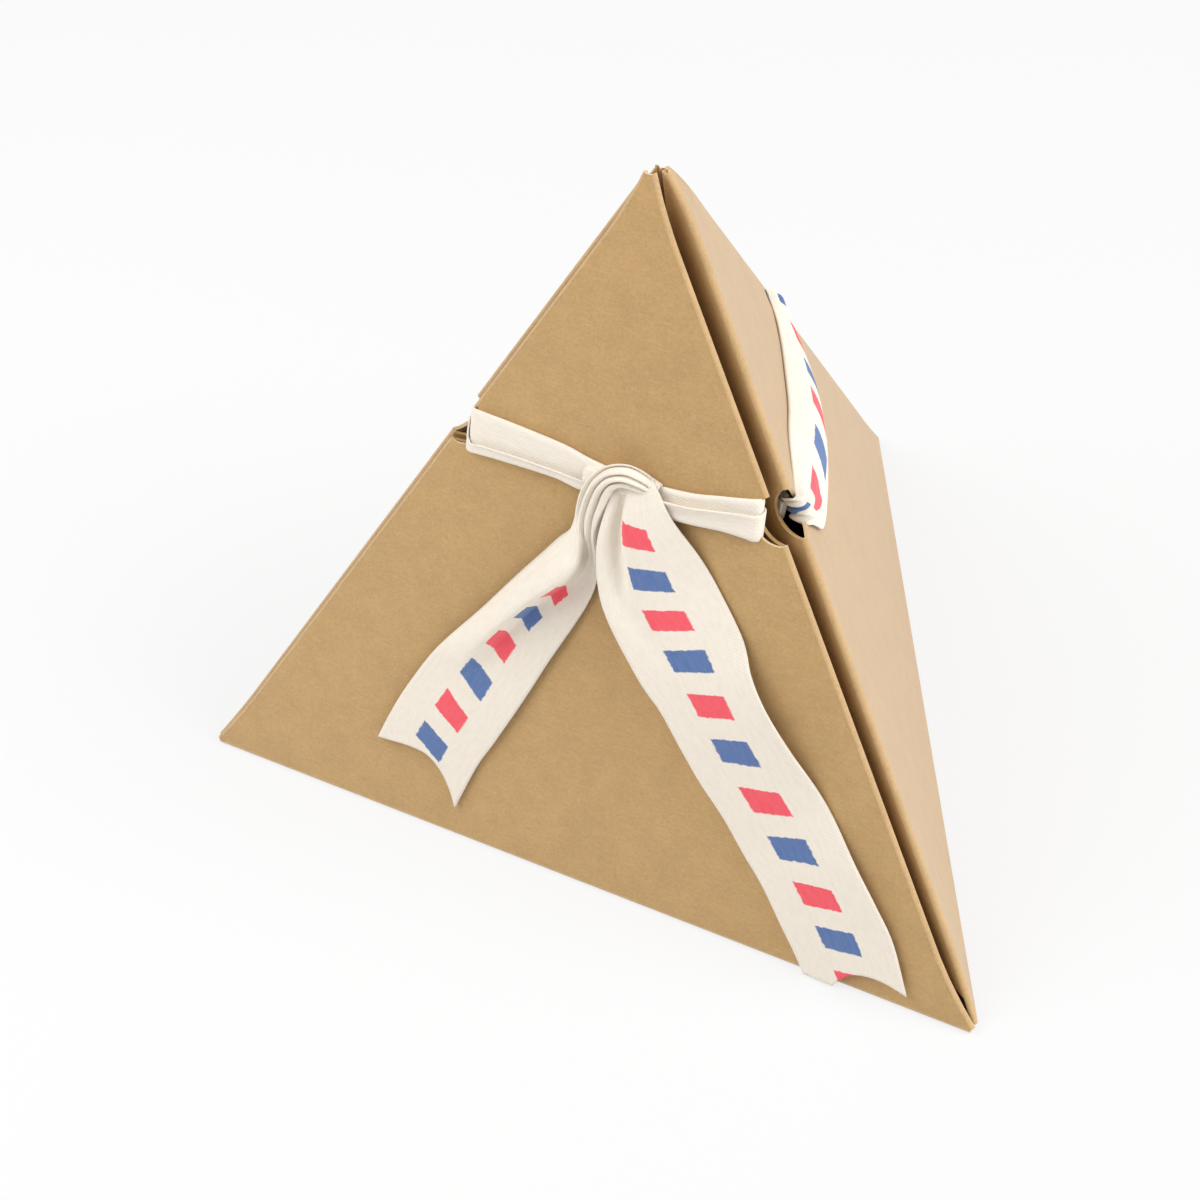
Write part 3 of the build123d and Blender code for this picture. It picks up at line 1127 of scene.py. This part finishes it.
    left_band: tuple[Rolled, ...] = (
        Rolled(-21.8, 61.9, -2.1, 2.4, 0.35),
        Rolled(-20.7, 61.8, -0.9, 2.7, 0.35),
        Rolled(-20.0, 61.7, 0.35, 2.9, 0.35),
        Rolled(-18.5, 61.6, 0.6, 3.0, 0.35),
        Rolled(-10.0, 61.2, 0.7, 3.1, 0.40, 0.2),
        Rolled(0.0, 61.0, 0.7, 3.1, 0.40, 0.3),
        Rolled(10.0, 61.2, 0.7, 3.1, 0.40, 0.2),
        Rolled(18.5, 61.6, 0.6, 3.0, 0.35),
        Rolled(20.0, 61.7, 0.35, 2.9, 0.35),
        Rolled(20.7, 61.8, -0.9, 2.7, 0.35),
        Rolled(21.8, 61.9, -2.1, 2.4, 0.35),
    )
    knot_wrap: tuple[Rolled, ...] = (
        Rolled(6.4, 61.2, 0.9, 1.5, 0.8),
        Rolled(3.6, 62.0, 1.2, 1.6, 0.9, 0.3),
        Rolled(1.0, 61.5, 1.3, 1.6, 0.9, 0.4),
        Rolled(-1.5, 60.9, 1.2, 1.6, 0.9, 0.3),
        Rolled(-3.8, 60.9, 0.9, 1.5, 0.8),
    )
    right_tail_blocks: tuple[float, ...] = (
        7.4, 13.5, 19.3, 25.2, 31.9, 38.6, 46.7, 53.9, 61.1, 67.7, 74.5,
    )
    left_tail_blocks: tuple[float, ...] = (27.5, 33.35, 40.1, 47.8, 55.4, 61.8)
    right_band_blocks: tuple[float, ...] = (-7.2, 0.2, 10.8, 22.0, 32.4, 38.8, 44.5, 51.0)

    def strip(
        self,
        name: str,
        length: float,
        blocks: Sequence[float],
        point: Callable[[float, float], Vector],
        trim: Callable[[float, float], float] | None = None,
    ) -> bpy.types.Object:
        """Makes a ribbon from a flat grid, each point of it moved to its place.

        Args:
            name: The piece's name.
            length: Its length in millimetres.
            blocks: How far along it the printed blocks lie; none where the printed side faces the card.
            point: Gives the place of a point from how far along and how far across it is.
            trim: Gives how far along a point ends up once the end is cut, from the same two.

        Returns:
            The piece.
        """
        mesh = bmesh.new()
        flat = mesh.loops.layers.uv.new("ribbon")
        columns, rows = round(self.width / self.cell), round(length / self.cell)
        bmesh.ops.create_grid(mesh, x_segments=columns, y_segments=rows, size=0.5)
        cut = {}
        for vert in mesh.verts:
            across = (vert.co.x + 0.5) * self.width
            along = (vert.co.y + 0.5) * length
            cut[vert] = (across, trim(along, across) if trim else along)
        for corner in (loop for part in mesh.faces for loop in part.loops):
            across, along = cut[corner.vert]
            corner[flat].uv = (across * MM, self.ink(blocks, along) * MM)
        for vert, (across, along) in cut.items():
            vert.co = point(along / length, across / self.width)
        sliced(mesh, UP * self.floor_gap * MM, UP, clear=True)
        for part in mesh.faces:
            part.smooth = True
        sides = [self.finishes.plain, self.finishes.printed]
        piece = show(name, mesh, sides if blocks else sides[::-1])
        thicken(piece, self.thick, back=1, rim=1)
        return piece

    def ink(self, blocks: Sequence[float], along: float) -> float:
        """How far along the print a point is.

        Args:
            blocks: How far along the stretch each printed block lies.
            along: How far along the stretch the point lies.

        Returns:
            Millimetres along the print, where a red block lies at one pitch and a blue one at two. Before the
            first block there is no print.
        """
        if not blocks:
            return along
        row = max(1, min(len(blocks) - 1, bisect_left(blocks, along)))
        first, last = blocks[row - 1], blocks[row]
        return PITCH * max(0.5, row + (along - first) / (last - first))

    def evenly(self, line: Callable[[float], Vector], steps: int) -> tuple[float, Callable[[float], float]]:
        """Measures a line so that it can be followed at an even pace.

        Args:
            line: The line, by section number.
            steps: The number of its last section.

        Returns:
            Its length in millimetres, and the section number at a share of that length.
        """
        count = self.section_steps * steps
        marks = [0.0]
        for step in range(count):
            piece = line((step + 1) / self.section_steps) - line(step / self.section_steps)
            marks.append(marks[-1] + piece.length / MM)

        def number(share: float) -> float:
            """The section number at a share of the length."""
            far = clamp(share) * marks[-1]
            step = max(1, min(count, bisect_left(marks, far)))
            part = (far - marks[step - 1]) / max(marks[step] - marks[step - 1], TINY)
            return (step - 1 + part) / self.section_steps

        return marks[-1], number

    def open_strip(
        self,
        name: str,
        sections: Sequence[Laid],
        petal: str,
        blocks: Sequence[float],
        lowest: float | None = None,
    ) -> Stretch:
        """Builds a stretch of open ribbon: a tail with a hollow-cut end, or a band that goes in at its ends.

        Args:
            name: The piece's name.
            sections: Its cross-sections in order.
            petal: The petal that it lies on.
            blocks: How far along it the printed blocks lie.
            lowest: How near to the card a tail may come; a band has none.

        Returns:
            The piece and its length in millimetres.
        """
        rows = [numbers(section) for section in sections]

        def edge_to_edge(place: float, across: float) -> Vector:
            """The point at a section number and a share of the width."""
            lu, lv, lw, ru, rv, rw, crown, pleat, valley, fold, waves = between(rows, place)
            crest, foot = self.pleat_drop
            fall = clamp((across - crest) / (foot - crest))
            tucked = fold * min(1.0, across / crest) + self.pleat_ledge * fall
            tucked += (1 - fold - self.pleat_ledge) * max(0.0, across - foot) / (1 - foot)
            spot = across + (tucked - across) * clamp(pleat / self.pleat_full)
            u, v = lu + (ru - lu) * spot, lv + (rv - lv) * spot
            w = lw + (rw - lw) * spot + crown * 4 * across * (1 - across)
            w += pleat * math.sin(min(1.0, across / crest) * math.pi / 2) * math.cos(fall * math.pi / 2) ** 2
            w -= valley * math.exp(-(((across - fold) / self.valley_width) ** 2))
            w += waves * math.cos(across * self.gathers * math.pi)
            return self.card.on_petal(petal, u, v, w if lowest is None else max(w, lowest))

        length, number = self.evenly(lambda place: edge_to_edge(place, 0.5), len(rows) - 1)

        def cut(along: float, across: float) -> float:
            """How far along a point lies after the hollow is cut in the end."""
            free = length - self.tail_end
            if along <= free:
                return along
            hollow = self.tail_hollow * (1 - abs(2 * across / self.width - 1) ** self.hollow_power)
            return free + (along - free) * (self.tail_end - hollow) / self.tail_end

        trim = None if lowest is None else cut
        piece = self.strip(name, length, blocks, lambda s, t: edge_to_edge(number(s), t), trim)
        return piece, length

    def band(self, name: str, sections: Sequence[Rolled], petal: str, profile: Profile) -> Stretch:
        """Builds a stretch of ribbon that is folded or rolled up, its plain side out.

        Args:
            name: The piece's name.
            sections: Its cross-sections in order.
            petal: The petal that it lies on.
            profile: How it is shaped across its width.

        Returns:
            The piece and its length in millimetres.
        """
        rows = [numbers(section) for section in sections]
        face = self.card.faces[petal]

        def middle(place: float) -> Vector:
            """The middle of the ribbon at a section number."""
            u, v, w = between(rows, place)[:3]
            return self.card.on_petal(petal, u, v, w)

        length, number = self.evenly(middle, len(rows) - 1)
        steps = round(length / self.cell)
        way = (middle(self.look_ahead) - middle(0)).normalized()
        side = (face.out.cross(way)).normalized()
        frames = []
        for step in range(steps + 1):
            place = number(step / steps)
            ahead = min(place + self.look_ahead, len(rows) - 1)
            behind = max(place - self.look_ahead, 0)
            way = (middle(ahead) - middle(behind)).normalized()
            side = (side - way * side.dot(way)).normalized()
            frames.append((middle(place), side.copy(), way.cross(side)))

        def wrapped(share: float, across: float) -> Vector:
            """The point at a share of the length and a share of the width."""
            centre, side, out = frames[min(steps, round(share * steps))]
            half_width, half_height, groove, flap = between(rows, number(share))[3:]
            if profile is Profile.FOLDED:
                x, z = self.folded(across, flap)
                dent = -groove * max(0.0, (across - self.dent_start) / self.dent_span) ** 2
            else:
                x, z = self.rolled((across - 0.5) * self.knot_turn)
                creased = sum(math.exp(-(((x - at) / self.groove_width) ** 2)) for at in self.knot_grooves)
                dent = creased * groove * max(0.0, z)
            return centre + (side * (x * half_width) + out * (z * half_height - dent)) * MM

        return self.strip(name, length, (), wrapped), length

    def rolled(self, angle: float) -> Span:
        """A point of a roll, which goes on inside itself past a full turn.

        Args:
            angle: How far round it is from the top.

        Returns:
            How far across and how high it is, in half widths and half heights.
        """
        x, z = math.sin(angle), math.cos(angle)
        x = math.copysign(abs(x) ** self.roll_power, x)
        z = math.copysign(abs(z) ** self.roll_power, z)
        tuck = self.roll_tucks[0 if angle > 0 else 1]
        return x, z * (1 - max(0.0, abs(angle) - self.roll_closed) * tuck)

    def folded(self, across: float, flap: float) -> Span:
        """A point of a ribbon folded in three: inner flap, back layer, and the flap that shows.

        Args:
            across: The share of the ribbon's width.
            flap: Where the edge of the flap that shows lies, in half widths.

        Returns:
            How far across and how high it is, in half widths and half heights.
        """
        first, second = self.fold_shares
        right, left = self.fold_sides
        marks = (
            (0.0, self.fold_inner, 0.0),
            (first, right, 0.0),
            (first + self.fold_bend, right, -1.0),
            (second, left, -1.0),
            (second + self.fold_bend, left, 1.0),
            (1.0, flap, 1.0),
        )
        row = bisect_left(marks, across - TINY, lo=1, hi=len(marks) - 1, key=lambda mark: mark[0])
        (start, x0, z0), (end, x1, z1) = marks[row - 1], marks[row]
        share = (across - start) / (end - start)
        if x0 != x1:
            return x0 + (x1 - x0) * share, z0
        angle = (share - 0.5) * math.pi
        reach = math.copysign(self.bend_reach, x0)
        return x0 + reach * math.cos(angle), (z0 + z1) / 2 + (z1 - z0) / 2 * math.sin(angle)

    def build(self) -> list[bpy.types.Object]:
        """Builds every stretch of the ribbon.

        Returns:
            The pieces.
        """
        laid, band, tail_gap = self.open_strip, self.band, self.tail_gap
        right_tail = laid("tie_right_tail", self.right_tail, "front", self.right_tail_blocks, tail_gap)
        left_tail = laid("tie_left_tail", self.left_tail, "front", self.left_tail_blocks, tail_gap)
        front_band = band("tie_front_band", self.front_band, "front", Profile.FOLDED)
        right_band = laid("tie_right_band", self.right_band, "right", self.right_band_blocks)
        left_band = band("tie_left_band", self.left_band, "left", Profile.FOLDED)
        knot = band("tie_knot", self.knot_wrap, "front", Profile.ROLLED)
        front_nodes = ["ribbon_front_left", "ribbon_front_right"]
        right_nodes = ["ribbon_right_face", "ribbon_corner_right"]
        left_nodes = ["ribbon_left_face", "ribbon_corner_back", "ribbon_corner_left"]
        made = [
            (right_tail, "laid", "front_petal", ["ribbon_right_tail"]),
            (left_tail, "laid", "front_petal", ["ribbon_left_tail"]),
            (front_band, "folded", "front_petal", front_nodes),
            (right_band, "gathered", "right_petal", right_nodes),
            (left_band, "folded", "left_petal", left_nodes),
            (knot, "gathered", "front_petal", ["ribbon_knot"]),
        ]
        pieces = []
        for (piece, length), held, under, nodes in made:
            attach(piece, "ribbon")
            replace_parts(piece, *nodes)
            pieces.append(piece)
        return pieces


@dataclass(frozen=True)
class Lamp:
    """A square soft light that points at the box."""

    name: str
    azimuth: float
    elevation: float
    distance: float
    size: float
    watts: float

    def build(self, target: Vector) -> None:
        """Hangs the light.

        Args:
            target: What it points at.
        """
        data = bpy.data.lights.new(self.name, "AREA")
        data.size = self.size
        data.energy = self.watts
        made = bpy.data.objects.new(self.name, data)
        back = direction(self.azimuth, self.elevation)
        made.location = target + back * self.distance
        made.rotation_euler = back.to_track_quat("Z", "Y").to_euler()
        bpy.context.scene.collection.objects.link(made)


def direction(azimuth: float, elevation: float) -> Vector:
    """The way from the box to a viewer, from angles in degrees; azimuth 0 is in front."""
    turn, lift = math.radians(azimuth), math.radians(elevation)
    return Vector((math.sin(turn) * math.cos(lift), -math.cos(turn) * math.cos(lift), math.sin(lift)))


@dataclass
class Studio:
    """The floor, the light and the camera."""

    azimuth: float = 31.652
    elevation: float = 43.617
    roll: float = -4.436
    distance: float = 0.35687
    pan: Span = (0.01261, -0.01690)
    lens: float = 72.0
    sensor: float = 36.0
    nearest: float = 0.01
    floor_size: float = 4.0
    floor_tone: float = 0.9
    floor_roughness: float = 0.9
    floor_specular: float = 0.1
    floor_white: float = 0.93
    floor_glow: float = 0.82
    world_level: float = 0.46
    aim: Triple = (0, 0, 0.04)
    lamps: tuple[Lamp, ...] = (
        Lamp("key_light", -54.0, 50.0, 0.45, 0.35, 1.42),
        Lamp("right_light", 105.0, 35.0, 1.3, 0.9, 16.4),
    )

    def floor(self) -> None:
        """Lays the pale floor, which shows nearly white and keeps the box's shadow."""
        mesh = bmesh.new()
        bmesh.ops.create_grid(mesh, x_segments=1, y_segments=1, size=self.floor_size / 2)
        material, wiring, shader = new_material("pale_floor")
        shader.inputs["Base Color"].default_value = (self.floor_tone,) * 3 + (1,)
        shader.inputs["Roughness"].default_value = self.floor_roughness
        shader.inputs["Specular IOR Level"].default_value = self.floor_specular
        glow = wiring.node("ShaderNodeEmission")
        glow.inputs["Color"].default_value = (self.floor_white,) * 3 + (1,)
        mixed = wiring.node("ShaderNodeMixShader")
        path = wiring.node("ShaderNodeLightPath").outputs
        seen = wiring.math("ADD", path["Is Camera Ray"], path["Is Glossy Ray"])
        seen = wiring.math("ADD", seen, path["Is Transmission Ray"])
        seen = wiring.math("MINIMUM", seen, 1.0)
        wiring.feed(mixed.inputs["Fac"], wiring.math("MULTIPLY", seen, self.floor_glow))
        wiring.feed(mixed.inputs[1], shader.outputs["BSDF"])
        wiring.feed(mixed.inputs[2], glow.outputs["Emission"])
        output = next(node for node in wiring.tree.nodes if node.type == "OUTPUT_MATERIAL")
        wiring.feed(output.inputs["Surface"], mixed.outputs["Shader"])
        made = show("floor", mesh, [material])

    def world(self) -> None:
        """Sets the even light from all round."""
        world = bpy.data.worlds.new("studio")
        world.use_nodes = True
        wiring = Wiring(world.node_tree)
        sky = wiring.node("ShaderNodeBackground")
        sky.inputs["Color"].default_value = (1, 1, 1, 1)
        sky.inputs["Strength"].default_value = self.world_level
        wiring.feed(wiring.node("ShaderNodeOutputWorld").inputs["Surface"], sky.outputs["Background"])
        bpy.context.scene.world = world

    def camera(self) -> None:
        """Places the camera at the photograph's angle."""
        back = direction(self.azimuth, self.elevation)
        turn = math.radians(self.azimuth)
        level = Vector((math.cos(turn), math.sin(turn), 0))
        upright = back.cross(level)
        tilt = math.radians(self.roll)
        right = level * math.cos(tilt) + upright * math.sin(tilt)
        top = upright * math.cos(tilt) - level * math.sin(tilt)
        data = bpy.data.cameras.new("camera")
        data.lens = self.lens
        data.sensor_width = self.sensor
        data.clip_start = self.nearest
        made = bpy.data.objects.new("camera", data)
        spot = back * self.distance - right * self.pan[0] - top * self.pan[1]
        axes = Matrix((right, top, back)).transposed().to_4x4()
        made.matrix_world = Matrix.Translation(spot) @ axes
        bpy.context.scene.collection.objects.link(made)
        bpy.context.scene.camera = made

    def build(self) -> None:
        """Sets the floor, the lights, the camera and the plain view of colours."""
        self.floor()
        self.world()
        for lamp in self.lamps:
            lamp.build(Vector(self.aim))
        self.camera()
        bpy.context.scene.view_settings.view_transform = "Standard"


def main() -> None:
    logging.basicConfig(level=logging.INFO, format="%(name)s: %(message)s")
    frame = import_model()
    finishes = Finishes.build()
    joints = {joint["name"]: joint for joint in frame["joints"]}
    card = CardBlank(finishes, joints)
    tie = RibbonTie(card, finishes)
    for piece in card.build() + tie.build():
        LOG.info("%s: %d faces", piece.name, len(piece.data.polygons))
    Studio().build()


if __name__ == "__main__":
    main()
